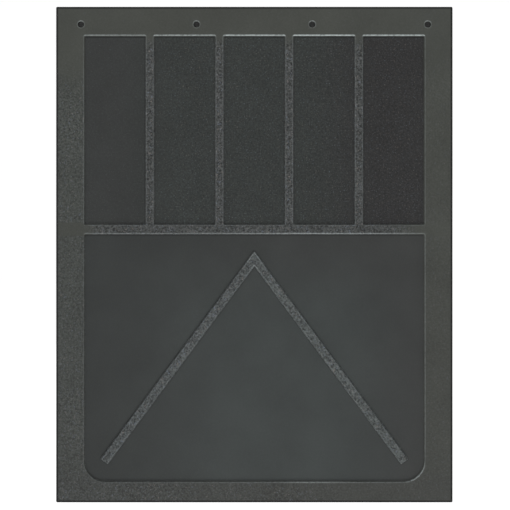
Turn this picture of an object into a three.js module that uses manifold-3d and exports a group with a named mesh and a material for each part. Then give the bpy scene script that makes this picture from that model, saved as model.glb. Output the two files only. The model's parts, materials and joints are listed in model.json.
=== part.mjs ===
// A truck mud flap: one rubber moulding, 24 in wide and 30 in long, that hangs from four bolts.
// Its front has a raised header, side and bottom borders, four upright ribs, a crossbar and an inverted V,
// all standing on a plain sheet. The sheet is cut into five bands at four flex lines, where it bends.
// Millimetres. +Z is up, X is the width, the front faces -Y and the back lies on the plane Y = 0.
// The origin is the middle of the row of bolt holes, on the back face.
import * as THREE from "three";
import { mergeVertices } from "three/addons/utils/BufferGeometryUtils.js";
import Module from "manifold-3d";

const wasm = await Module();
wasm.setup();

// ---- Driving dimensions ----
const INCH = 25.4;
const WIDTH = 24 * INCH;
const LENGTH = 30 * INCH;
const SHEET = 0.25 * INCH; // thickness of the plain sheet
const RELIEF = 0.125 * INCH; // how far the borders and ribs stand in front of it
const DRAFT = 1.5; // width of the sloping wall at the foot of the relief
const OUTER_CORNER = 2;

// Depths are measured down from the top edge.
const HOLE_DEPTH = 27;
const HEADER_DEPTH = 1.75 * INCH;
const CROSSBAR_TOP = 335;
const CROSSBAR_BOTTOM = 13.75 * INCH;
const PANEL_BOTTOM = LENGTH - 1.25 * INCH;
const FLEX_DEPTHS = [99, 214, 352, 512];
const FLEX_GAP = 1.1; // with the seams, it lets neighbouring bands turn 15 degrees without touching

const HOLE_RADIUS = (3 / 16) * INCH;
const HOLE_PITCH = 7 * INCH;
const HOLE_PLACES = [-1.5, -0.5, 0.5, 1.5];
const HOLE_SEGMENTS = 32;

const SIDE_BORDER = 43.2;
const RIB_COUNT = 4;
const RIB_WIDTH = 0.5 * INCH;
const POCKET_CORNER = 2.2;
const PANEL_CORNER = 32;
const ARC_SEGMENTS = 8;
const OUTER_SEGMENTS = 4;

const CHEVRON_WIDTH = 13;
const APEX_DEPTH = 387; // where the two leg centrelines meet
const LEG_END_DEPTH = 699;
const LEG_END_X = 231;

const SEAM = 0.15; // each solid stops this far short of the cut between it and the next

// ---- Worked-out sizes ----
const TOP = HOLE_DEPTH;
const HALF_WIDTH = WIDTH / 2;
const INNER_X = HALF_WIDTH - SIDE_BORDER;
const CELL_WIDTH = (2 * INNER_X - RIB_COUNT * RIB_WIDTH) / (RIB_COUNT + 1);
const FRONT = SHEET + RELIEF;
const FOOT = DRAFT / 2; // the wall's foot is this far outside its nominal edge
const levelOf = (depth) => TOP - depth;
const ribLeft = (i) => -INNER_X + CELL_WIDTH * (i + 1) + RIB_WIDTH * i;

const HEADER_FOOT = HEADER_DEPTH + FOOT;
const BAND_NAMES = ["neck", "upper", "middle", "lower", "tail"];
const bands = BAND_NAMES.map((name, i) => ({
  name,
  from: i === 0 ? HEADER_FOOT : FLEX_DEPTHS[i - 1] + FLEX_GAP / 2,
  to: i < FLEX_DEPTHS.length ? FLEX_DEPTHS[i] - FLEX_GAP / 2 : LENGTH + 1,
}));

// ---- Materials ----
const rubber = (color, roughness) => new THREE.MeshStandardMaterial({ color, roughness, metalness: 0 });
const sheetRubber = rubber(0x3c3d3c, 0.55);
const borderRubber = rubber(0x4a4b47, 0.75);
const ribRubber = rubber(0x4f5150, 0.85);

// ---- Solids ----
// A closed three.js geometry as a manifold-3d solid, for cutting and joining.
function solidOf(geometry) {
  geometry.deleteAttribute("normal");
  geometry.deleteAttribute("uv");
  const merged = mergeVertices(geometry, 1e-4);
  return new wasm.Manifold(
    new wasm.Mesh({
      numProp: 3,
      vertProperties: merged.attributes.position.array,
      triVerts: new Uint32Array(merged.index.array),
    }),
  );
}

function geometryOf(solid) {
  const { vertProperties, triVerts } = solid.getMesh();
  const geometry = new THREE.BufferGeometry();
  geometry.setAttribute("position", new THREE.BufferAttribute(vertProperties, 3));
  geometry.setIndex(new THREE.BufferAttribute(triVerts, 1));
  geometry.computeVertexNormals();
  return geometry;
}

// Stands a solid drawn in the XY plane upright, so that its height runs from the back towards the front.
const upright = (geometry) => geometry.rotateX(Math.PI / 2);

// A block between two X places, two depths below the top edge and two distances in front of the back face.
function block(x0, x1, depth0, depth1, front0, front1) {
  const box = new THREE.BoxGeometry(x1 - x0, front1 - front0, depth1 - depth0);
  box.translate((x0 + x1) / 2, -(front0 + front1) / 2, levelOf((depth0 + depth1) / 2));
  return solidOf(box);
}

// A rectangle with its own radius at its top and bottom corners. Places are X and depth.
function roundedRectangle(x0, x1, depth0, depth1, topRadius, bottomRadius) {
  const [top, bottom] = [levelOf(depth0), levelOf(depth1)];
  const shape = new THREE.Shape();
  shape.moveTo(x0 + bottomRadius, bottom);
  shape.lineTo(x1 - bottomRadius, bottom);
  shape.absarc(x1 - bottomRadius, bottom + bottomRadius, bottomRadius, -Math.PI / 2, 0);
  shape.lineTo(x1, top - topRadius);
  shape.absarc(x1 - topRadius, top - topRadius, topRadius, 0, Math.PI / 2);
  shape.lineTo(x0 + topRadius, top);
  shape.absarc(x0 + topRadius, top - topRadius, topRadius, Math.PI / 2, Math.PI);
  shape.lineTo(x0, bottom + bottomRadius);
  shape.absarc(x0 + bottomRadius, bottom + bottomRadius, bottomRadius, Math.PI, 1.5 * Math.PI);
  return shape;
}

// The hollow in front of the sheet that a pocket leaves, wider at the front by the draft of its walls.
function pocket(shape) {
  const cutter = new THREE.ExtrudeGeometry(shape, {
    depth: 1,
    bevelThickness: RELIEF,
    bevelSize: DRAFT,
    bevelOffset: -FOOT,
    bevelSegments: 1,
    curveSegments: ARC_SEGMENTS,
  });
  cutter.translate(0, 0, FRONT);
  return solidOf(upright(cutter));
}

// The flap's whole outline as a slab between two distances in front of the back face.
function slab(front0, front1) {
  const outline = roundedRectangle(-HALF_WIDTH, HALF_WIDTH, 0, LENGTH, OUTER_CORNER, OUTER_CORNER);
  const plate = new THREE.ExtrudeGeometry(outline, {
    depth: front1 - front0,
    bevelEnabled: false,
    curveSegments: OUTER_SEGMENTS,
  });
  plate.translate(0, 0, front0);
  return solidOf(upright(plate));
}

// The relief: everything that stands in front of the sheet, with the chevron left out.
function relief() {
  let made = slab(SHEET, FRONT);
  for (let i = 0; i <= RIB_COUNT; i += 1) {
    const x0 = i === 0 ? -INNER_X : ribLeft(i - 1) + RIB_WIDTH;
    const cell = roundedRectangle(
      x0, x0 + CELL_WIDTH, HEADER_DEPTH, CROSSBAR_TOP, POCKET_CORNER, POCKET_CORNER,
    );
    made = made.subtract(pocket(cell));
  }
  const panel = roundedRectangle(
    -INNER_X, INNER_X, CROSSBAR_BOTTOM, PANEL_BOTTOM, POCKET_CORNER, PANEL_CORNER,
  );
  return made.subtract(pocket(panel));
}

// The inverted V as one solid, its walls leaning in towards the front.
function chevron() {
  const run = LEG_END_X;
  const fall = LEG_END_DEPTH - APEX_DEPTH;
  const length = Math.hypot(run, fall);
  const half = CHEVRON_WIDTH / 2;
  const rise = (half * length) / run; // from the centrelines' meeting point up to the tip
  const endX = (half * fall) / length;
  const endZ = (half * run) / length;
  const shape = new THREE.Shape([
    new THREE.Vector2(0, levelOf(APEX_DEPTH) + rise),
    new THREE.Vector2(-run - endX, levelOf(LEG_END_DEPTH) + endZ),
    new THREE.Vector2(-run + endX, levelOf(LEG_END_DEPTH) - endZ),
    new THREE.Vector2(0, levelOf(APEX_DEPTH) - rise),
    new THREE.Vector2(run - endX, levelOf(LEG_END_DEPTH) - endZ),
    new THREE.Vector2(run + endX, levelOf(LEG_END_DEPTH) + endZ),
  ]);
  const bar = new THREE.ExtrudeGeometry(shape, {
    depth: 0,
    bevelThickness: RELIEF,
    bevelSize: DRAFT,
    bevelOffset: -FOOT,
    bevelSegments: 1,
  });
  bar.translate(0, 0, SHEET);
  const front = block(-HALF_WIDTH, HALF_WIDTH, 0, LENGTH, SHEET, FRONT + 1);
  return solidOf(upright(bar)).intersect(front);
}

// ---- The assembly ----
const flap = new THREE.Group();

function add(name, solid, material) {
  const mesh = new THREE.Mesh(geometryOf(solid), material);
  mesh.name = name;
  flap.add(mesh);
}

// The piece of a solid between two X places and two depths, stopping short of each cut by the seam.
function pieceOf(solid, x0, x1, depth0, depth1) {
  return solid.intersect(
    block(x0 + SEAM, x1 - SEAM, depth0 + SEAM, depth1 - SEAM, -1, FRONT + 1),
  );
}

// The header is one solid through the whole thickness, drilled for the bolts.
function addHeader(sheet, raised) {
  let header = pieceOf(sheet.add(raised), -WIDTH, WIDTH, -1, HEADER_FOOT);
  for (const place of HOLE_PLACES) {
    const drill = new THREE.CylinderGeometry(HOLE_RADIUS, HOLE_RADIUS, 4 * FRONT, HOLE_SEGMENTS);
    drill.translate(place * HOLE_PITCH, 0, levelOf(HOLE_DEPTH));
    header = header.subtract(solidOf(drill));
  }
  add("header_band", header, borderRubber);
}

function addSheet(band, sheet) {
  add(`sheet_${band.name}`, pieceOf(sheet, -WIDTH, WIDTH, band.from, band.to), sheetRubber);
}

function addSideBorders(band, raised) {
  const to = Math.min(band.to, PANEL_BOTTOM - PANEL_CORNER);
  const edge = INNER_X - FOOT;
  add(`left_border_${band.name}`, pieceOf(raised, -WIDTH, -edge, band.from, to), borderRubber);
  add(`right_border_${band.name}`, pieceOf(raised, edge, WIDTH, band.from, to), borderRubber);
}

function addRibs(band, raised) {
  const to = Math.min(band.to, CROSSBAR_TOP - FOOT);
  for (let i = 0; i < RIB_COUNT; i += 1) {
    const x0 = ribLeft(i) - FOOT;
    const rib = pieceOf(raised, x0, x0 + RIB_WIDTH + DRAFT, band.from, to);
    add(`rib_${i + 1}_${band.name}`, rib, ribRubber);
  }
}

function addChevronLegs(band, legs) {
  add(`chevron_left_${band.name}`, pieceOf(legs, -HALF_WIDTH, 0, band.from, band.to), ribRubber);
  add(`chevron_right_${band.name}`, pieceOf(legs, 0, HALF_WIDTH, band.from, band.to), ribRubber);
}

const sheet = slab(0, SHEET);
const raised = relief();
const legs = chevron();
addHeader(sheet, raised);
for (const band of bands) {
  addSheet(band, sheet);
  addSideBorders(band, raised);
  if (band.from < CROSSBAR_TOP) addRibs(band, raised);
  if (band.to > APEX_DEPTH) addChevronLegs(band, legs);
}
const inner = INNER_X - FOOT;
add("crossbar", pieceOf(raised, -inner, inner, CROSSBAR_TOP - FOOT, CROSSBAR_BOTTOM + FOOT), ribRubber);
add(
  "bottom_border",
  pieceOf(raised, -WIDTH, WIDTH, PANEL_BOTTOM - PANEL_CORNER, LENGTH + 1),
  borderRubber,
);

export default flap;
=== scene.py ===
"""A heavy rubber mud flap: one moulding, modelled as a sheet with the raised features that stand on it.

Metres, in the CAD frame: +Z up, X the width, and the ribbed front faces -Y. Heights are measured from the
flat back towards the front. Every solid is built whole, from outlines and wall profiles, and then cut at
the levels where one bend of the flap hands over to the next, so that each piece crosses one joint at most.
"""

import json
import math

import bmesh
import bpy
import numpy as np
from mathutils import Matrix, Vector
from mathutils.geometry import delaunay_2d_cdt

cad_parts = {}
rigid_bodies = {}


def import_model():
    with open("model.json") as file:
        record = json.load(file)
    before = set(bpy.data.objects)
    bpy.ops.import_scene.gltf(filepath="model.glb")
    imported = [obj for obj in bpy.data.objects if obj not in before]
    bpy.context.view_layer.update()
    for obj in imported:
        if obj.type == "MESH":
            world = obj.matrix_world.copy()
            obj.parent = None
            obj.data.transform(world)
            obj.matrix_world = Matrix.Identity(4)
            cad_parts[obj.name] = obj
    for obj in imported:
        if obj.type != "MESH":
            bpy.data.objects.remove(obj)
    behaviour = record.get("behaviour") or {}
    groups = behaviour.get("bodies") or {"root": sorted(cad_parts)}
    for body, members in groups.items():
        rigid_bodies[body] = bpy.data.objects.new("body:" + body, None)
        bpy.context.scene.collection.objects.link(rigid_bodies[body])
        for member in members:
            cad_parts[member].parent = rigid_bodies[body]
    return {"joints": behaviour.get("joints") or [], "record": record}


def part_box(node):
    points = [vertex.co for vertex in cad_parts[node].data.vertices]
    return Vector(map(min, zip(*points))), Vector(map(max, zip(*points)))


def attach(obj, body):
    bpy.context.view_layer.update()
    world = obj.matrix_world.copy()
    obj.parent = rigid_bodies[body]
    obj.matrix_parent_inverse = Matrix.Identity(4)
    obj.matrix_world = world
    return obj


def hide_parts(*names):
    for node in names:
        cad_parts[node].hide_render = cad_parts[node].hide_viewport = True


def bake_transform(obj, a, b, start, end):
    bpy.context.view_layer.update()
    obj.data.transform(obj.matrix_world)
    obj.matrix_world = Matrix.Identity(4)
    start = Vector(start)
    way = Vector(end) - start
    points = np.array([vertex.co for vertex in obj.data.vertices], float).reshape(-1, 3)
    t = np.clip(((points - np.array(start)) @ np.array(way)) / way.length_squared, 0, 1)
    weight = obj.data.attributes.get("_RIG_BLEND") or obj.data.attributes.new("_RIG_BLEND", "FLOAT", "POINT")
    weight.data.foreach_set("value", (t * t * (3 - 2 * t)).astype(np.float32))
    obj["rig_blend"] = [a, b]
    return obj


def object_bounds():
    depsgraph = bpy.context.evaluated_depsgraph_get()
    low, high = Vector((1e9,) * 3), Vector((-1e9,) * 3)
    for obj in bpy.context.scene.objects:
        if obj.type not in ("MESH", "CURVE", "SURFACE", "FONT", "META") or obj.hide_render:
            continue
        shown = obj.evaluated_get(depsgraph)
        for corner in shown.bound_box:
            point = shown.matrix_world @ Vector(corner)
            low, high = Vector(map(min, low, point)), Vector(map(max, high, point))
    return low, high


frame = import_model()
CAD_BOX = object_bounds()
LOW, HIGH = CAD_BOX

# ---- Sizes that the frame doesn't give ----
MM = 0.001
SEAM = 0.15 * MM  # each CAD solid stops this far short of its true edge
DRAFT = 1.5 * MM  # width of the sloping walls, as seen from the front
FOOT = DRAFT / 2
FOOT_RADIUS = 0.6 * MM
TOP_RADIUS = 0.7 * MM
RIM_RADIUS = 1.0 * MM  # rounding of the flap's outer edges
HOLE_RADIUS = 4.7625 * MM
HOLE_LIP = 0.7 * MM
OUTER_CORNER = 2 * MM
POCKET_CORNER = 1.9 * MM
PANEL_CORNER = 32 * MM
CHEVRON_WIDTH = 13 * MM
CHEVRON_CORNER = 0.9 * MM
APEX_DEPTH = 387 * MM  # below the top edge, where the centrelines of the legs meet
LEG_END_DEPTH = 699 * MM
LEG_END_X = 231 * MM
CLEAR = 3.5 * MM  # a cut this far from a wall crosses no rounded corner

# ---- Widths of the strips where a mask is strong and where it fades ----
WEAR_HIGHLIGHT_STRIP = 0.4 * MM  # the wear and the painted highlight thin out this far in from the rounding of a wall
WEAR_HIGHLIGHT_FADE = 1.2 * MM
RIM_STRIP = 1.0 * MM  # the dark band round the flap runs this far in from its rounded edge
RIM_FADE = 3.8 * MM
HOLE_STRIP = 0.2 * MM
HOLE_FADE = 1.2 * MM
# the painted shade at the foot of the walls fades out over this width
SHADE_FADE = 1.8 * MM

# ---- Mesh fineness ----
STEP = 9 * MM
ARC_STEPS = 6
FILLET_STEPS = 4
HOLE_STEPS = 40
SMALLEST_RADIUS = 0.3 * MM
WELD = 0.002 * MM
SHARP_ANGLE = math.radians(40)

# ---- Sizes from the frame ----
FRONT = -LOW.y
SHEET = -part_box("sheet_upper")[0].y
RELIEF = FRONT - SHEET
INNER_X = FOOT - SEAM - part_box("left_border_upper")[1].x
HEADER_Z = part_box("header_band")[0].z - SEAM + FOOT
CROSSBAR_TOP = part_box("crossbar")[1].z + SEAM - FOOT
CROSSBAR_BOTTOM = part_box("crossbar")[0].z - SEAM + FOOT
PANEL_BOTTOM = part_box("bottom_border")[1].z + SEAM - PANEL_CORNER
RIBS = [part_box(f"rib_{i}_upper") for i in (1, 2, 3, 4)]
RIB_EDGES = [(low.x - SEAM + FOOT, high.x + SEAM - FOOT) for low, high in RIBS]
HOLES = [
    (Vector(opening["box_m"][0]) + Vector(opening["box_m"][1])) / 2
    for opening in frame["record"]["physics"]["openings"]
]

# ---- Levels: each bend runs from one level to the next, with its joint half way ----
JOINTS = frame["joints"]
LEVELS = [HEADER_Z - CLEAR]
for joint in JOINTS:
    LEVELS.append(2 * joint["pos_m"][2] - LEVELS[-1])
BAR_LEVELS = [CROSSBAR_TOP + CLEAR, CROSSBAR_BOTTOM - CLEAR]
TAIL_LEVEL = PANEL_BOTTOM + PANEL_CORNER + MM

# ---- How much the flap is out of true ----
WAVE = 0.55 * MM
WAVE_START = 60 * MM  # the waves grow over this length below the clamped header

# ---- Where the ribs, crossbar and chevron turn from the borders' look to their own ----
RIB_START = 22 * MM  # the length of each rib that it takes, below the header
BAR_FADES = (24 * MM, 62 * MM)  # the same for the crossbar, from its left end and from its right
BAR_EDGE_FADE = 5 * MM


# ---- Outlines ----
def unit(vector):
    return vector / np.hypot(*vector)


def outward(direction):
    return np.array((direction[1], -direction[0]))


def corner_arc(before, here, after, radius, offset):
    """Points round one corner of an anticlockwise outline that has been moved outwards by an offset."""
    side_in, side_out = unit(here - before), unit(after - here)
    normal_in, normal_out = outward(side_in), outward(side_out)
    turn = math.atan2(side_in[0] * side_out[1] - side_in[1] * side_out[0], side_in @ side_out)
    hand = math.copysign(1, turn)
    radius = max(radius + hand * offset, SMALLEST_RADIUS)
    middle = normal_in + normal_out
    corner = here + offset * middle / (1 + normal_in @ normal_out)
    centre = corner - hand * unit(middle) * radius / math.cos(turn / 2)
    start = math.atan2(normal_in[1], normal_in[0])
    angles = start + turn * np.linspace(0, 1, ARC_STEPS + 1)
    return centre + hand * radius * np.column_stack((np.cos(angles), np.sin(angles)))


def ring(outline, offset=0.0):
    """Points round an outline of (x, z, radius) corners, with as many points whatever the offset."""
    places = [np.array(corner[:2]) for corner in outline]
    arcs = []
    for i, here in enumerate(places):
        after = places[(i + 1) % len(places)]
        arcs.append(corner_arc(places[i - 1], here, after, outline[i][2], offset))
    points = []
    for i, arc in enumerate(arcs):
        next_arc = arcs[(i + 1) % len(arcs)]
        gap = places[(i + 1) % len(places)] - places[i]
        count = max(1, round(np.hypot(*gap) / STEP))
        shares = np.linspace(0, 1, count + 1)[1:-1, None]
        points.append(arc)
        points.append(arc[-1] + (next_arc[0] - arc[-1]) * shares)
    return np.concatenate(points)


def circle(centre, radius):
    angles = np.linspace(0, math.tau, HOLE_STEPS, endpoint=False)
    return np.column_stack((centre.x + radius * np.cos(angles), centre.z + radius * np.sin(angles)))


def rectangle(x0, x1, z0, z1, low_radius, high_radius):
    return [(x0, z0, low_radius), (x1, z0, low_radius), (x1, z1, high_radius), (x0, z1, high_radius)]


def chevron_outline():
    """The inverted V: its tip, left leg, inner notch and right leg, anticlockwise."""
    apex = HIGH.z - APEX_DEPTH
    end = HIGH.z - LEG_END_DEPTH
    length = math.hypot(LEG_END_X, LEG_END_DEPTH - APEX_DEPTH)
    half = CHEVRON_WIDTH / 2
    rise = half * length / LEG_END_X
    across = half * (apex - end) / length
    up = half * LEG_END_X / length
    right = [
        (LEG_END_X - across, end - up, CHEVRON_CORNER),
        (LEG_END_X + across, end + up, CHEVRON_CORNER),
    ]
    left = [(-x, z, radius) for x, z, radius in reversed(right)]
    notch = (0.0, apex - rise, CHEVRON_CORNER)
    tip = (0.0, apex + rise, CHEVRON_CORNER)
    return [tip, *left, notch, *right]


OUTER = rectangle(LOW.x, HIGH.x, LOW.z, HIGH.z, OUTER_CORNER, OUTER_CORNER)
PANEL = rectangle(-INNER_X, INNER_X, PANEL_BOTTOM, CROSSBAR_BOTTOM, PANEL_CORNER, POCKET_CORNER)
CELL_LEFTS = [-INNER_X] + [right for left, right in RIB_EDGES]
CELL_RIGHTS = [left for left, right in RIB_EDGES] + [INNER_X]
CELLS = [
    rectangle(x0, x1, CROSSBAR_TOP, HEADER_Z, POCKET_CORNER, POCKET_CORNER)
    for x0, x1 in zip(CELL_LEFTS, CELL_RIGHTS)
]
CHEVRON = chevron_outline()


# ---- Profiles: from the foot of a wall up to the flat on top of it ----
SHADE_LOSS = 0.8  # how much of the painted shade is gone at the top of the fillet
THIN_WEAR_HIGHLIGHT = 0.35  # the wear and painted highlight that are left at the far side of the pale strip
RIM_SIDE = 0.45  # how dark the flap's sides and back edge are, where the front of its rim is 1
SLOPE = math.atan2(RELIEF, DRAFT)
TOE = FOOT + FOOT_RADIUS * math.tan(SLOPE / 2)
BROW = FOOT + TOP_RADIUS * math.tan(SLOPE / 2)


def wall_profile():
    """(offset, height, wear and painted highlight, painted shade) up a drafted wall with a fillet at its foot
    and a rounding at its top.
    """
    points = []
    for turn in np.linspace(0, SLOPE, FILLET_STEPS + 1):
        offset = FOOT_RADIUS * math.sin(turn) - TOE
        height = SHEET + FOOT_RADIUS * (1 - math.cos(turn))
        points.append((offset, height, 0.0, 1.0 - SHADE_LOSS * turn / SLOPE))
    for turn in np.linspace(SLOPE, 0, FILLET_STEPS + 1):
        offset = BROW - TOP_RADIUS * math.sin(turn)
        height = FRONT - TOP_RADIUS * (1 - math.cos(turn))
        points.append((offset, height, 1.0, 0.0))
    points.append((BROW + WEAR_HIGHLIGHT_STRIP, FRONT, THIN_WEAR_HIGHLIGHT, 0.0))
    points.append((BROW + WEAR_HIGHLIGHT_FADE, FRONT, 0.0, 0.0))
    return points


def edge_profile(base, top, radius, strip, side, brow):
    """(offset, height, mask) over a square edge, which is rounded at the top, and a strip of the flat there.
    The mask is one value on the side and another from the rounding on."""
    toward = math.copysign(1, top - base)
    points = [(0.0, base, side), (0.0, (base + top - toward * radius) / 2, side)]
    for turn in np.linspace(math.pi / 2, 0, FILLET_STEPS + 2):
        height = top - toward * radius * (1 - math.cos(turn))
        points.append((radius * (1 - math.sin(turn)), height, brow))
    points.append((radius + strip, top, brow))
    return points


WALL = wall_profile()
RELIEF_EDGE = edge_profile(SHEET, FRONT, RIM_RADIUS, RIM_STRIP, RIM_SIDE, 1.0)
SHEET_EDGE = edge_profile(SHEET, 0.0, RIM_RADIUS, RIM_STRIP, RIM_SIDE, RIM_SIDE)
RELIEF_HOLE = edge_profile(SHEET, FRONT, HOLE_LIP, HOLE_STRIP, 0.0, 1.0)
SHEET_HOLE = edge_profile(SHEET, 0.0, RIM_RADIUS, HOLE_STRIP, 0.0, 0.0)


# ---- Wear with painted highlights, and painted shade at the foot of walls, by which way a wall faces: (up, sideways, down) ----
# these values set painted shade, darkest at the foot of each wall
CELL_SHADE = (0.12, 0.42, 1.0)
PANEL_SHADE = (0.08, 0.2, 0.55)
CHEVRON_WEAR_HIGHLIGHT = (0.06, 0.05, 0.12)
CHEVRON_SHADE = (0.8, 0.5, 0.25)
HOLE_WEAR_HIGHLIGHT = (0.12, 0.14, 0.35)

# ---- Wear with painted highlights, in single places ----
CELL_WEAR_HIGHLIGHT = 0.12  # of the sides and foot of a cell
# the pale edges under the header and crossbar, along the panel's bottom, at the chevron's apex and round the
# holes are painted highlights as well as wear
HEADER_WEAR_HIGHLIGHT = (0.4, 0.65, 0.88, 1.0, 0.92)  # of the header's lower edge, cell by cell
CROSSBAR_WEAR_HIGHLIGHT = {-0.1: 0.2, 0.1: 0.46, 0.21: 0.3, 0.26: 0.15}  # under the crossbar, by X
BOTTOM_WEAR_HIGHLIGHT = {-0.24: 0.1, -0.05: 0.16, 0.03: 0.22, 0.09: 0.5, 0.16: 0.22}  # along the bottom, by X
PANEL_SIDE_WEAR_HIGHLIGHT = (0.07, 0.18)  # of the left side and the right
LOW_RIGHT_WEAR_HIGHLIGHT = 0.5
APEX_WEAR_HIGHLIGHT = 0.4
APEX_REACH = 14 * MM
RIGHT_LEG_SHADE_CUT = 1.6  # how much less painted shade there is above the chevron's right leg


def by_facing(facings, up, sideways, down):
    toward_up = np.clip(facings[:, 1], 0, 1) ** 2
    toward_down = np.clip(-facings[:, 1], 0, 1) ** 2
    return sideways + (up - sideways) * toward_up + (down - sideways) * toward_down


def panel_wear_highlight(points, facings):
    """Under the crossbar and along the bottom the wear and painted highlight come and go, and the right-hand
    arc has its own.
    """
    x, z = points.T
    crossbar = np.interp(x, list(CROSSBAR_WEAR_HIGHLIGHT), list(CROSSBAR_WEAR_HIGHLIGHT.values()))
    bottom = np.interp(x, list(BOTTOM_WEAR_HIGHLIGHT), list(BOTTOM_WEAR_HIGHLIGHT.values()))
    left, right = PANEL_SIDE_WEAR_HIGHLIGHT
    wear_highlight = by_facing(facings, bottom, np.where(x > 0, right, left), crossbar)
    diagonal = 4 * facings[:, 0] ** 2 * facings[:, 1] ** 2
    low_right = (x > 0) & (z < PANEL_BOTTOM + PANEL_CORNER)
    return wear_highlight + LOW_RIGHT_WEAR_HIGHLIGHT * diagonal * low_right


def chevron_masks(points, facings):
    """The wear with painted highlights, and the painted shade, of the chevron: pale at its apex, and less
    shaded above its right leg than its left.
    """
    apex = np.array((0.0, HIGH.z - APEX_DEPTH))
    near_apex = np.exp(-((points - apex) ** 2).sum(axis=1) / APEX_REACH**2)
    wear_highlight = by_facing(facings, *CHEVRON_WEAR_HIGHLIGHT) + APEX_WEAR_HIGHLIGHT * near_apex
    above_right = np.clip(facings[:, 0], 0, 1) * np.clip(facings[:, 1], 0, 1)
    shade_amount = by_facing(facings, *CHEVRON_SHADE) * (1 - RIGHT_LEG_SHADE_CUT * above_right)
    return wear_highlight, shade_amount


# ---- Solids ----
# the masks: wear with painted highlights, painted shade at the foot of walls, and the dark band round the
# flap
MASKS = ("wear_and_highlight", "foot_shade", "rim")
PLAIN = (0.0, 0.0, 0.0)


class Solid:
    """Vertices with their masks, and faces, gathered patch by patch and then welded into one closed mesh."""

    def __init__(self):
        self.places, self.masks, self.faces = [], [], []

    def add_points(self, flat, height, masks):
        first = len(self.places)
        self.places.extend((x, -height, z) for x, z in flat)
        self.masks.extend(np.broadcast_to(masks, (len(flat), len(MASKS))))
        return list(range(first, first + len(flat)))

    def add_wall(self, rings):
        """Quads between rings of points. Each ring is (points, height, masks)."""
        rows = [self.add_points(*one) for one in rings]
        for low, high in zip(rows, rows[1:]):
            for i in range(len(low)):
                j = (i + 1) % len(low)
                self.faces.append((low[i], low[j], high[j], high[i]))

    def add_flat(self, height, outer, inners, mask_rings=()):
        """Triangles at one height, inside the outer ring and outside the inner ones, each (points, masks).
        Mask rings are drawn into the flat, so that its masks can fade over a short width."""
        loops = [outer, *inners, *mask_rings]
        flat, masks, borders = [], [], []
        for points, mask in loops:
            first = len(flat)
            flat.extend(points)
            masks.extend(np.broadcast_to(mask, (len(points), len(MASKS))))
            borders.extend((first + i, first + (i + 1) % len(points)) for i in range(len(points)))
        outline_rings = [outer[0]] + [points for points, mask in inners]
        grid = grid_points(outline_rings, [points for points, mask in loops])
        flat.extend(grid)
        masks.extend([PLAIN] * len(grid))
        made = delaunay_2d_cdt([Vector(p) for p in flat], borders, [], 0, WELD / 10, True)
        places, triangles, sources = np.array(made[0]), np.array(made[2]), made[3]
        centres = places[triangles].mean(axis=1)
        kept = triangles[is_within(centres, outline_rings) & (heights(places[triangles]) > WELD)]
        first = len(self.places)
        for place, source in zip(places, sources):
            self.places.append((place[0], -height, place[1]))
            self.masks.append(masks[source[0]] if source else PLAIN)
        self.faces.extend(tuple(first + int(i) for i in triangle) for triangle in kept)

    def mesh(self):
        made = bmesh.new()
        layers = [made.verts.layers.float.new(name) for name in MASKS]
        vertices = []
        for place, masks in zip(self.places, self.masks):
            vertex = made.verts.new(place)
            for layer, value in zip(layers, masks):
                vertex[layer] = value
            vertices.append(vertex)
        for face in self.faces:
            made.faces.new([vertices[i] for i in face])
        bmesh.ops.remove_doubles(made, verts=made.verts, dist=WELD)
        loose = [vertex for vertex in made.verts if not vertex.link_faces]
        bmesh.ops.delete(made, geom=loose, context="VERTS")
        bmesh.ops.recalc_face_normals(made, faces=made.faces)
        return made


def heights(triangles):
    """The height of each triangle over its longest side. It is next to nothing along a straight outline."""
    sides = np.roll(triangles, -1, axis=1) - triangles
    longest = np.hypot(sides[..., 0], sides[..., 1]).max(axis=1)
    doubled_area = np.abs(sides[:, 0, 0] * sides[:, 1, 1] - sides[:, 0, 1] * sides[:, 1, 0])
    return doubled_area / longest


def edges_of(rings):
    starts = np.concatenate(rings)
    ends = np.concatenate([np.roll(one, -1, axis=0) for one in rings])
    return starts, ends


def is_within(points, rings):
    """Which points lie inside an odd number of the rings."""
    starts, ends = edges_of(rings)
    inside = np.zeros(len(points), bool)
    for (x0, z0), (x1, z1) in zip(starts, ends):
        if z0 == z1:
            continue
        spans = (points[:, 1] < z0) != (points[:, 1] < z1)
        crossing = x0 + (points[:, 1] - z0) * (x1 - x0) / (z1 - z0)
        inside ^= spans & (points[:, 0] < crossing)
    return inside


def grid_points(rings, all_rings):
    """A triangular grid of points inside the rings, clear of every ring that is drawn."""
    low, high = rings[0].min(axis=0), rings[0].max(axis=0)
    rows = np.arange(low[1] + STEP / 2, high[1], STEP * math.sqrt(3) / 2)
    grid = []
    for i, z in enumerate(rows):
        xs = np.arange(low[0] + STEP * (0.5 + 0.5 * (i % 2)), high[0], STEP)
        grid.append(np.column_stack((xs, np.full(len(xs), z))))
    grid = np.concatenate(grid)
    grid = grid[is_within(grid, rings)]
    starts, ends = edges_of(all_rings)
    nearest = np.full(len(grid), np.inf)
    for start, end in zip(starts, ends):
        along = end - start
        share = np.clip((grid - start) @ along / max(along @ along, 1e-18), 0, 1)
        nearest = np.minimum(nearest, np.hypot(*(grid - start - share[:, None] * along).T))
    return grid[nearest > 0.5 * STEP]


def facings_of(outline, inside):
    """Which way the wall along an outline faces at each point of its rings."""
    nearby = 0.3 * MM
    out = ring(outline, nearby) - ring(outline, -nearby)
    out /= np.hypot(out[:, 0], out[:, 1])[:, None]
    return out if inside else -out


def wall_rings(outline, inside, wear_highlight, shade_amount):
    """The rings of a relief wall. The high ground lies inside the outline or outside it."""
    side = -1 if inside else 1
    made = []
    for offset, height, wear_and_highlight, foot_shade in WALL:
        masks = np.column_stack((wear_and_highlight * wear_highlight, foot_shade * shade_amount, 0 * wear_highlight))
        made.append((ring(outline, side * offset), height, masks))
    return made


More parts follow.
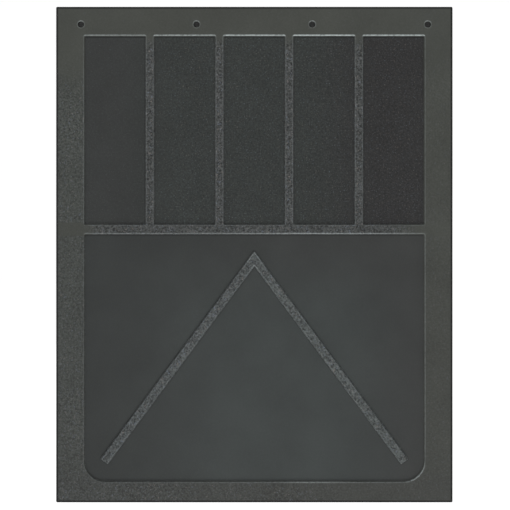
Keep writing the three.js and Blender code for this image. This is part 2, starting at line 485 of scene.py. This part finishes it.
def pocket_rings():
    """The walls round the five cells and the panel."""
    made = []
    for outline, header_wear_highlight in zip(CELLS, HEADER_WEAR_HIGHLIGHT):
        facings = facings_of(outline, inside=False)
        wear_highlight = by_facing(facings, CELL_WEAR_HIGHLIGHT, CELL_WEAR_HIGHLIGHT, header_wear_highlight)
        made.append(wall_rings(outline, False, wear_highlight, by_facing(facings, *CELL_SHADE)))
    facings = facings_of(PANEL, inside=False)
    wear_highlight = panel_wear_highlight(ring(PANEL), facings)
    made.append(wall_rings(PANEL, False, wear_highlight, by_facing(facings, *PANEL_SHADE)))
    return made


def flap_edge(offset):
    return ring(OUTER, -offset)


def flap_edge_rings(profile):
    return [(flap_edge(offset), height, (0.0, 0.0, rim)) for offset, height, rim in profile]


def hole_rings(profile):
    made = []
    for hole in HOLES:
        toward_middle = -(circle(hole, 1.0) - (hole.x, hole.z))
        wear_highlight = by_facing(toward_middle, *HOLE_WEAR_HIGHLIGHT)
        rings = []
        for offset, height, wear_and_highlight in profile:
            masks = np.column_stack((wear_and_highlight * wear_highlight, 0 * wear_highlight, 0 * wear_highlight))
            rings.append((circle(hole, HOLE_RADIUS + offset), height, masks))
        made.append(rings)
    return made


def ends_of(rings):
    """The last ring of a wall as a border of the flat that it meets."""
    points, height, masks = rings[-1]
    return points, masks


def starts_of(rings):
    """The first ring, in the same way."""
    points, height, masks = rings[0]
    return points, masks


def relief_solid():
    """The header, borders, ribs and crossbar: one slab with the cells, the panel and the holes cut out."""
    solid = Solid()
    edge = flap_edge_rings(RELIEF_EDGE)
    openings = [*pocket_rings(), *hole_rings(RELIEF_HOLE)]
    for rings in [edge, *openings]:
        solid.add_wall(rings)
    fades = [(flap_edge(RIM_FADE), PLAIN)]
    fades += [(circle(hole, HOLE_RADIUS + HOLE_LIP + HOLE_FADE), PLAIN) for hole in HOLES]
    solid.add_flat(FRONT, ends_of(edge), [ends_of(rings) for rings in openings], fades)
    solid.add_flat(SHEET, starts_of(edge), [starts_of(rings) for rings in openings])
    return solid.mesh()


def chevron_solid():
    solid = Solid()
    facings = facings_of(CHEVRON, inside=True)
    rings = wall_rings(CHEVRON, True, *chevron_masks(ring(CHEVRON), facings))
    solid.add_wall(rings)
    solid.add_flat(FRONT, ends_of(rings), [])
    solid.add_flat(SHEET, starts_of(rings), [])
    return solid.mesh()


def foot_shade_rings():
    """Rings on the sheet, with painted shade along the foot of each wall that fades out a little way off."""
    chevron_facings = facings_of(CHEVRON, inside=True)
    chevron_shade = chevron_masks(ring(CHEVRON), chevron_facings)[1]
    settings = [(cell, -1, by_facing(facings_of(cell, inside=False), *CELL_SHADE)) for cell in CELLS]
    settings.append((PANEL, -1, by_facing(facings_of(PANEL, inside=False), *PANEL_SHADE)))
    settings.append((CHEVRON, 1, chevron_shade))
    made = []
    for outline, side, amounts in settings:
        masks = np.column_stack((0 * amounts, amounts, 0 * amounts))
        made.append((ring(outline, side * TOE), masks))
        made.append((ring(outline, side * (TOE + SHADE_FADE)), PLAIN))
    return made


def sheet_solid():
    """The sheet behind everything."""
    solid = Solid()
    edge = flap_edge_rings(SHEET_EDGE)
    holes = hole_rings(SHEET_HOLE)
    for rings in [edge, *holes]:
        solid.add_wall(rings)
    solid.add_flat(SHEET, starts_of(edge), [starts_of(rings) for rings in holes], foot_shade_rings())
    fade = [(flap_edge(RIM_FADE), PLAIN)]
    solid.add_flat(0.0, ends_of(edge), [ends_of(rings) for rings in holes], fade)
    return solid.mesh()


# ---- Cutting ----
def cut_off(source, level, axis, keep_above):
    """A copy of one side of a closed mesh, closed again with a face on the cut."""
    made = source.copy()
    normal = Vector(axis) if keep_above else -Vector(axis)
    bmesh.ops.bisect_plane(
        made,
        geom=[*made.verts, *made.edges, *made.faces],
        dist=WELD / 4,
        plane_co=Vector(axis) * level,
        plane_no=normal,
        clear_inner=True,
    )
    open_edges = [edge for edge in made.edges if edge.is_boundary]
    bmesh.ops.holes_fill(made, edges=open_edges, sides=0)
    return made


def slice_between(source, top, bottom):
    """The part of a mesh between two levels. None stands for no cut."""
    made = source.copy()
    for level, keep_above in ((top, False), (bottom, True)):
        if level is None:
            continue
        cut = cut_off(made, level, (0, 0, 1), keep_above)
        made.free()
        made = cut
    return made


def loose_parts(source):
    """The separate bodies in a mesh, from left to right, as lists of faces."""
    left = set(source.faces)
    parts = []
    while left:
        stack = [left.pop()]
        part = []
        while stack:
            face = stack.pop()
            part.append(face)
            near = {other for edge in face.edges for other in edge.link_faces if other in left}
            left -= near
            stack.extend(near)
        parts.append(part)
    return sorted(parts, key=lambda part: min(v.co.x for face in part for v in face.verts))


# ---- Pieces ----
def wave(x, z):
    """How far the rubber stands out of true at a place, towards the front."""
    depth = LEVELS[0] - z
    grown = np.clip(depth / WAVE_START, 0, 1) ** 2
    long_wave = np.sin(9.0 * x + 5.0 * z + 0.6) * np.cos(7.5 * z - 2.0 * x + 0.4)
    short_wave = 0.35 * np.sin(23.0 * x - 11.0 * z + 1.7) * np.sin(17.0 * z + 6.0 * x)
    return WAVE * grown * (long_wave + short_wave)


def rib_share(places):
    """1 on the ribs, crossbar and chevron, 0 on the header and borders, fading near where they meet."""
    from_left = np.clip((INNER_X + places[:, 0]) / BAR_FADES[0], 0, 1)
    from_right = np.clip((INNER_X - places[:, 0]) / BAR_FADES[1], 0, 1)
    below_header = np.clip((HEADER_Z - places[:, 2]) / RIB_START, 0, 1)
    in_bar = np.clip((places[:, 2] - CROSSBAR_BOTTOM) / BAR_EDGE_FADE + 1.2, 0, 1)
    legs = np.array([is_near_leg(x, z) for x, y, z in places], float)
    return np.maximum(from_left * from_right * below_header * in_bar, legs)


def is_near_leg(x, z):
    apex = HIGH.z - APEX_DEPTH
    fall = LEG_END_DEPTH - APEX_DEPTH
    offset = (abs(x) * fall - (apex - z) * LEG_END_X) / math.hypot(fall, LEG_END_X)
    return abs(offset) < CHEVRON_WIDTH and z > HIGH.z - LEG_END_DEPTH - CHEVRON_WIDTH


def store(mesh, name, kind, values):
    attribute = mesh.attributes.new(name, kind, "POINT")
    field = "vector" if kind == "FLOAT_VECTOR" else "value"
    attribute.data.foreach_set(field, np.asarray(values, np.float32).ravel())


def piece_from(source, faces, node, material):
    """A new object, from some faces of a mesh, that stands for one CAD node."""
    vertices = sorted({vertex for face in faces for vertex in face.verts}, key=lambda v: v.index)
    number = {vertex: i for i, vertex in enumerate(vertices)}
    places = np.array([vertex.co for vertex in vertices])
    mesh = bpy.data.meshes.new(f"{node}_rubber")
    moved = places.copy()
    moved[:, 1] -= wave(places[:, 0], places[:, 2])
    mesh.from_pydata(moved.tolist(), [], [[number[v] for v in face.verts] for face in faces])
    store(mesh, "rest_co", "FLOAT_VECTOR", places)
    for name in MASKS:
        layer = source.verts.layers.float[name]
        store(mesh, name, "FLOAT", [vertex[layer] for vertex in vertices])
    store(mesh, "rib", "FLOAT", rib_share(places))
    mesh.shade_smooth()
    mesh.set_sharp_from_angle(angle=SHARP_ANGLE)
    mesh.materials.append(material)
    made = bpy.data.objects.new(f"{node}_rubber", mesh)
    bpy.context.scene.collection.objects.link(made)
    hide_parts(node)
    return made


def hang(piece, bend):
    """Lets a piece bend with a joint, counted from 0 at the top. No bend means the rigid header."""
    if bend is None:
        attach(piece, JOINTS[0]["parent"])
        return
    if bend == len(JOINTS):
        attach(piece, JOINTS[-1]["child"])
        return
    joint = JOINTS[bend]
    start, end = LEVELS[bend], LEVELS[bend + 1]
    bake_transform(piece, joint["parent"], joint["child"], start=(0, 0, start), end=(0, 0, end))


def add_pieces(source, top, bottom, names, material, bend):
    """Cuts a length out of a mesh and makes an object of each separate body in it, from left to right."""
    cut = slice_between(source, top, bottom)
    cut.verts.index_update()
    parts = loose_parts(cut)
    if len(parts) != len(names):
        raise RuntimeError(f"{len(parts)} bodies between {top} and {bottom}, and {len(names)} names")
    for faces, name in zip(parts, names):
        finish = material[name] if isinstance(material, dict) else material
        hang(piece_from(cut, faces, name, finish), bend)
    cut.free()


def across(band, border, rib):
    """The names and materials of the bodies across the flap in a band: border, ribs, border."""
    named = {f"left_border_{band}": border}
    for i in range(len(RIBS)):
        named[f"rib_{i + 1}_{band}"] = rib
    named[f"right_border_{band}"] = border
    return named


def add_relief(border, rib):
    relief = relief_solid()
    add_pieces(relief, None, LEVELS[0], ["header_band"], border, None)
    band_levels = [LEVELS[0], LEVELS[1], LEVELS[2], BAR_LEVELS[0]]
    for i, band in enumerate(("neck", "upper", "middle")):
        named = across(band, border, rib)
        add_pieces(relief, band_levels[i], band_levels[i + 1], list(named), named, i)
    add_pieces(relief, BAR_LEVELS[0], BAR_LEVELS[1], ["crossbar"], rib, 2)
    sides = ["left_border_lower", "right_border_lower"]
    add_pieces(relief, BAR_LEVELS[1], LEVELS[3], sides, border, 2)
    sides = ["left_border_tail", "right_border_tail"]
    add_pieces(relief, LEVELS[3], TAIL_LEVEL, sides, border, 3)
    add_pieces(relief, TAIL_LEVEL, None, ["bottom_border"], border, 4)
    relief.free()


def add_chevron(rib):
    chevron = chevron_solid()
    for side, keep_right in (("left", False), ("right", True)):
        leg = cut_off(chevron, 0.0, (1, 0, 0), keep_right)
        add_pieces(leg, None, LEVELS[3], [f"chevron_{side}_lower"], rib, 2)
        add_pieces(leg, LEVELS[3], None, [f"chevron_{side}_tail"], rib, 3)
        leg.free()
    chevron.free()


def add_sheet(material):
    sheet = sheet_solid()
    tops = [None, *LEVELS[1:]]
    bottoms = [*LEVELS[1:], None]
    for i, band in enumerate(("neck", "upper", "middle", "lower", "tail")):
        add_pieces(sheet, tops[i], bottoms[i], [f"sheet_{band}"], material, i)
    sheet.free()


# ---- Materials ----
class Nodes:
    """Short calls for the nodes of the material of one slot."""

    def __init__(self, slot):
        self.material = bpy.data.materials.new(f"{slot}_look")
        self.material["slot"] = slot
        self.material.use_nodes = True
        self.tree = self.material.node_tree
        self.shader = self.tree.nodes["Principled BSDF"]
        self.place = self.attribute("rest_co", "Vector")

    def link(self, value, socket):
        if isinstance(value, bpy.types.NodeSocket):
            self.tree.links.new(value, socket)
        else:
            socket.default_value = value

    def attribute(self, name, output="Fac"):
        node = self.tree.nodes.new("ShaderNodeAttribute")
        node.attribute_name = name
        return node.outputs[output]

    def noise(self, scale, detail=2.0, roughness=0.5, stretch=(1, 1, 1)):
        """Noise with features about 1 / scale metres across, from 0 to 1."""
        mapping = self.tree.nodes.new("ShaderNodeMapping")
        mapping.inputs["Scale"].default_value = stretch
        self.tree.links.new(self.place, mapping.inputs["Vector"])
        node = self.tree.nodes.new("ShaderNodeTexNoise")
        node.inputs["Scale"].default_value = scale
        node.inputs["Detail"].default_value = detail
        node.inputs["Roughness"].default_value = roughness
        self.tree.links.new(mapping.outputs["Vector"], node.inputs["Vector"])
        return node.outputs["Fac"]

    def math(self, operation, *values):
        node = self.tree.nodes.new("ShaderNodeMath")
        node.operation = operation
        for value, socket in zip(values, node.inputs):
            self.link(value, socket)
        return node.outputs["Value"]

    def axis(self, name):
        """One coordinate of the place on the flap."""
        node = self.tree.nodes.new("ShaderNodeSeparateXYZ")
        self.tree.links.new(self.place, node.inputs["Vector"])
        return node.outputs[name]

    def largest(self, *values):
        found = values[0]
        for value in values[1:]:
            found = self.math("MAXIMUM", found, value)
        return found

    def product(self, *values):
        found = values[0]
        for value in values[1:]:
            found = self.math("MULTIPLY", found, value)
        return found

    def shade(self, color, noise, amount):
        """A colour made lighter and darker by a noise whose middle is 0.5."""
        swing = self.product(self.math("SUBTRACT", noise, 0.5), amount, 2.0)
        factor = self.math("MAXIMUM", self.math("ADD", swing, 1.0), 0.15)
        node = self.tree.nodes.new("ShaderNodeVectorMath")
        node.operation = "SCALE"
        self.link(color, node.inputs[0])
        self.link(factor, node.inputs["Scale"])
        return node.outputs["Vector"]

    def ramp(self, value, start, end, low=0.0, high=1.0):
        """A value that runs from low to high as the input runs from start to end."""
        node = self.tree.nodes.new("ShaderNodeMapRange")
        node.interpolation_type = "SMOOTHSTEP"
        self.link(value, node.inputs["Value"])
        for name, number in (("From Min", start), ("From Max", end), ("To Min", low), ("To Max", high)):
            node.inputs[name].default_value = number
        return node.outputs["Result"]

    def mix(self, share, a, b):
        node = self.tree.nodes.new("ShaderNodeMix")
        node.data_type = "RGBA"
        self.link(share, node.inputs["Factor"])
        self.link(a, node.inputs["A"])
        self.link(b, node.inputs["B"])
        return node.outputs["Result"]

    def mix_value(self, share, a, b):
        node = self.tree.nodes.new("ShaderNodeMix")
        self.link(share, node.inputs["Factor"])
        self.link(a, node.inputs["A"])
        self.link(b, node.inputs["B"])
        return node.outputs["Result"]

    def bump(self, height, distance, strength=1.0, normal=None):
        node = self.tree.nodes.new("ShaderNodeBump")
        node.inputs["Distance"].default_value = distance
        node.inputs["Strength"].default_value = strength
        self.link(height, node.inputs["Height"])
        if normal is not None:
            self.link(normal, node.inputs["Normal"])
        return node.outputs["Normal"]


def gray(level, tint=(1.0, 1.0, 1.0)):
    return (level * tint[0], level * tint[1], level * tint[2], 1.0)


def add_rubber(nodes, color, grain):
    """What every face of the flap has: mottling, grain, painted shade at the foot of walls, and worn edges
    with painted highlights.
    """
    color = nodes.shade(color, nodes.noise(14.0, 3.0, 0.6), 0.25)
    color = nodes.shade(color, nodes.noise(340.0, 2.0, 0.6), nodes.product(grain, 0.7))
    specks = nodes.ramp(nodes.noise(480.0, 2.0, 0.6), 0.55, 0.78)
    warmth = nodes.ramp(nodes.noise(200.0, 1.0), 0.4, 0.65)
    cool_speck = gray(0.15, (0.84, 0.98, 1.2))
    warm_speck = gray(0.15, (1.12, 0.98, 0.9))
    pale = nodes.mix(warmth, cool_speck, warm_speck)
    color = nodes.mix(nodes.product(specks, grain, 0.45), color, pale)
    chips = nodes.ramp(nodes.noise(230.0, 3.0, 0.6), 0.3, 0.6, 0.4, 1.0)
    wear_and_highlight = nodes.product(nodes.attribute("wear_and_highlight"), chips)
    # pale edges: wear and painted highlights
    color = nodes.mix(wear_and_highlight, color, gray(0.52, (0.9, 1.0, 1.0)))
    black = gray(0.006)
    # painted shade at the foot of the walls
    color = nodes.mix(nodes.product(nodes.attribute("foot_shade"), 0.9), color, black)
    color = nodes.mix(nodes.product(nodes.attribute("rim"), 0.92), color, black)
    nodes.link(color, nodes.shader.inputs["Base Color"])
    return wear_and_highlight


def finish_rubber(nodes, wear_and_highlight, rough, relief):
    """Roughness, which is lower where the edges are polished, and the relief of the grain."""
    swing = 0.025
    patchy = nodes.ramp(nodes.noise(38.0, 4.0, 0.6), 0.25, 0.75, rough - swing, rough + swing)
    polished = nodes.math("SUBTRACT", patchy, nodes.product(wear_and_highlight, 0.25))
    nodes.link(nodes.mix_value(nodes.attribute("rim"), polished, 0.9), nodes.shader.inputs["Roughness"])
    nodes.shader.inputs["Specular IOR Level"].default_value = 0.35
    pebbles = nodes.bump(nodes.noise(700.0, 2.0, 0.6), 0.00015, relief)
    scuffs = nodes.bump(nodes.noise(60.0, 5.0, 0.7, (1.0, 1.0, 0.35)), 0.0003, 0.35, pebbles)
    nodes.link(scuffs, nodes.shader.inputs["Normal"])
    return nodes.material


def sheet_material():
    """Nearly black rubber in the recesses: grainy in the cells, and smooth and greener in the panel."""
    nodes = Nodes("sheet_rubber")
    x, y, z = nodes.axis("X"), nodes.axis("Y"), nodes.axis("Z")
    front = nodes.ramp(y, -0.3 * SHEET, -0.6 * SHEET)
    cell = nodes.product(front, nodes.ramp(z, CROSSBAR_BOTTOM, CROSSBAR_TOP))
    first_cell = gray(0.030, (0.96, 1.04, 1.01))
    middle_cells = gray(0.0265, (0.93, 1.09, 1.02))
    last_cell = gray(0.0195)
    left_cells = nodes.mix(nodes.ramp(x, -0.22, -0.12), first_cell, middle_cells)
    cells = nodes.mix(nodes.ramp(x, 0.06, 0.2), left_cells, last_cell)
    panel_left = gray(0.031, (0.94, 1.05, 1.02))
    panel_right = gray(0.0355, (0.97, 1.03, 1.0))
    # the paler middle of the panel is a painted sheen
    panel_sheen = gray(0.044, (0.9, 1.05, 1.02))
    sides = nodes.mix(nodes.ramp(x, -0.26, 0.26), panel_left, panel_right)
    middle = nodes.product(nodes.ramp(x, -0.26, 0.0), nodes.ramp(x, 0.27, 0.12), nodes.ramp(z, -0.32, -0.46))
    panel = nodes.mix(middle, sides, panel_sheen)
    color = nodes.mix(cell, panel, cells)
    grain = nodes.product(cell, nodes.ramp(x, -0.2, -0.1, 0.5, 1.5))
    wear_and_highlight = add_rubber(nodes, color, nodes.largest(grain, 0.2))
    return finish_rubber(nodes, wear_and_highlight, 0.55, 0.35)


def border_material():
    """The header and borders: matt, with a faint olive bloom. The left one is cooler, and it and the bottom
    one are grainier."""
    nodes = Nodes("border_rubber")
    x, z = nodes.axis("X"), nodes.axis("Z")
    left = nodes.product(nodes.ramp(x, INNER_X, -INNER_X), nodes.ramp(z, -0.05, -0.12))
    low = nodes.ramp(z, PANEL_BOTTOM + 20 * MM, PANEL_BOTTOM)
    dull = gray(0.049, (0.99, 1.06, 0.89))
    bloom = gray(0.056, (0.99, 1.06, 0.94))
    cool = gray(0.0515, (0.96, 1.07, 0.98))
    mottled = nodes.mix(nodes.noise(5.5, 2.0), dull, bloom)
    pale = nodes.mix(nodes.product(left, 0.8), mottled, cool)
    darker = nodes.math("ADD", nodes.ramp(z, HIGH.z, LOW.z, 0.0, 0.2), nodes.product(low, 0.2))
    color = nodes.mix(darker, pale, gray(0.036))
    low_grain = nodes.product(low, nodes.ramp(x, 0.16, 0.05, 0.35, 0.8))
    patches = nodes.ramp(nodes.noise(9.0, 2.0), 0.35, 0.65, 0.65, 1.0)
    grain = nodes.product(nodes.largest(left, low_grain), patches, 2.2)
    plain_grain = nodes.ramp(z, -0.03, -0.1, 0.25, 0.6)
    wear_and_highlight = add_rubber(nodes, color, nodes.largest(grain, plain_grain))
    return finish_rubber(nodes, wear_and_highlight, 0.62, 0.3)


def rib_material():
    """The ribs, crossbar and chevron: scuffed and speckled, and the borders' look where they meet them."""
    nodes = Nodes("rib_rubber")
    rib = nodes.attribute("rib")
    x, z = nodes.axis("X"), nodes.axis("Z")
    left_leg = gray(0.066, (0.9, 1.0, 1.0))
    right_leg = gray(0.074, (0.9, 1.01, 0.99))
    bar = gray(0.049, (0.97, 1.04, 1.01))
    border = gray(0.053, (0.99, 1.06, 0.92))
    legs = nodes.mix(nodes.ramp(x, -0.04, 0.04), left_leg, right_leg)
    below_bar = nodes.ramp(z, CROSSBAR_BOTTOM - 5 * MM, CROSSBAR_BOTTOM - 15 * MM)
    color = nodes.mix(rib, border, nodes.mix(below_bar, bar, legs))
    scuffs = nodes.ramp(nodes.noise(130.0, 3.0, 0.6), 0.58, 0.7)
    color = nodes.mix(nodes.product(scuffs, rib, 0.2), color, gray(0.14, (0.95, 1.0, 1.05)))
    wear_and_highlight = add_rubber(nodes, color, nodes.ramp(rib, 0.0, 1.0, 0.35, 3.1))
    return finish_rubber(nodes, wear_and_highlight, 0.66, 0.8)


# ---- Stage ----
FLOOR_DROP = 0.09
FLOOR_REACH = 30.0
DOME_RADIUS = 24.0
SHADE_SPARE = 0.2 * MM  # how far the discs in the bolt holes reach into the rubber
FRAME_WIDTH = 784 * MM  # how much of the flap's plane the camera takes in


def plain_material(name, color, roughness):
    made = bpy.data.materials.new(name)
    made.use_nodes = True
    shader = made.node_tree.nodes["Principled BSDF"]
    shader.inputs["Base Color"].default_value = color
    shader.inputs["Roughness"].default_value = roughness
    return made


def add_stage_mesh(name, places, faces, material):
    mesh = bpy.data.meshes.new(name)
    mesh.from_pydata(places, [], faces)
    mesh.materials.append(material)
    made = bpy.data.objects.new(name, mesh)
    bpy.context.scene.collection.objects.link(made)
    return made


def glow(material, level):
    shader = material.node_tree.nodes["Principled BSDF"]
    shader.inputs["Emission Color"].default_value = (1.0, 1.0, 1.0, 1.0)
    shader.inputs["Emission Strength"].default_value = level
    return material


def add_floor():
    """A pale floor that is lit from inside, as a light table is. It also lights the walls from below."""
    z = LOW.z - FLOOR_DROP
    r = FLOOR_REACH
    corners = [(-r, -r, z), (r, -r, z), (r, r, z), (-r, r, z)]
    paint = glow(plain_material("floor_paint", gray(0.1), 0.9), 1.0)
    floor = add_stage_mesh("floor", corners, [(0, 1, 2, 3)], paint)
    floor.visible_shadow = False


def add_backdrop():
    """A white dome that only the camera sees, so that it lights nothing."""
    made = bmesh.new()
    bmesh.ops.create_icosphere(made, subdivisions=4, radius=DOME_RADIUS)
    mesh = bpy.data.meshes.new("backdrop")
    made.to_mesh(mesh)
    made.free()
    mesh.materials.append(glow(plain_material("backdrop_paint", gray(0.0), 1.0), 1.0))
    backdrop = bpy.data.objects.new("backdrop", mesh)
    bpy.context.scene.collection.objects.link(backdrop)
    backdrop.visible_diffuse = False
    backdrop.visible_glossy = False
    backdrop.visible_transmission = False
    backdrop.visible_shadow = False


def add_hole_shades(name, tone, height):
    """Discs inside the bolt holes: painted shade that keeps the holes dark where the bright backdrop would
    show through them.
    """
    places, faces = [], []
    for hole in HOLES:
        first = len(places)
        for x, z in circle(hole, HOLE_RADIUS + SHADE_SPARE):
            places.append((x, -height, z))
        faces.append(list(range(first, len(places))))
    add_stage_mesh(name, places, faces, plain_material(f"{name}_paint", gray(tone), 0.9))


def add_area_light(name, place, target, size, power):
    data = bpy.data.lights.new(name, "AREA")
    data.shape = "RECTANGLE"
    data.size, data.size_y = size
    data.energy = power
    light = bpy.data.objects.new(name, data)
    light.location = place
    light.rotation_euler = (Vector(target) - Vector(place)).to_track_quat("-Z", "Y").to_euler()
    light.visible_camera = False
    bpy.context.scene.collection.objects.link(light)


def add_world(level):
    world = bpy.data.worlds.new("studio")
    world.use_nodes = True
    background = world.node_tree.nodes["Background"]
    background.inputs["Color"].default_value = (1.0, 1.0, 1.0, 1.0)
    background.inputs["Strength"].default_value = level
    bpy.context.scene.world = world


def add_lights():
    middle = (0.0, 0.0, (LOW.z + HIGH.z) / 2)
    add_area_light("low_key", (0.7, -2.9, -5.4), middle, (1.6, 1.2), 100.0)
    add_area_light("high_fill", (-0.9, -3.8, 4.4), middle, (2.2, 2.2), 136.0)
    add_area_light("back_fill", (-2.0, 4.0, 2.0), middle, (2.2, 2.2), 200.0)
    add_world(0.1)


def add_camera():
    """Square on to the front, a little right of the middle and below it."""
    data = bpy.data.cameras.new("camera")
    data.lens = 110.0
    data.sensor_width = 36.0
    camera = bpy.data.objects.new("camera", data)
    distance = FRAME_WIDTH * data.lens / data.sensor_width
    middle = (LOW.z + HIGH.z) / 2
    camera.location = (1.0 * MM, LOW.y - distance, middle - 0.6 * MM)
    camera.rotation_euler = (math.radians(90), 0.0, 0.0)
    data.clip_start, data.clip_end = 0.05, 100.0
    bpy.context.scene.collection.objects.link(camera)
    bpy.context.scene.camera = camera


add_camera()
border_rubber, rib_rubber = border_material(), rib_material()
add_relief(border_rubber, rib_rubber)
add_chevron(rib_rubber)
add_sheet(sheet_material())
add_floor()
add_backdrop()
# the discs in the bolt holes are painted shade: grey seen from the front, nearly black seen from behind
add_hole_shades("hole_shades", 0.09, 0.35 * FRONT)
add_hole_shades("hole_shades_back", 0.002, 0.3 * FRONT)
add_lights()
bpy.context.scene.view_settings.view_transform = "Standard"
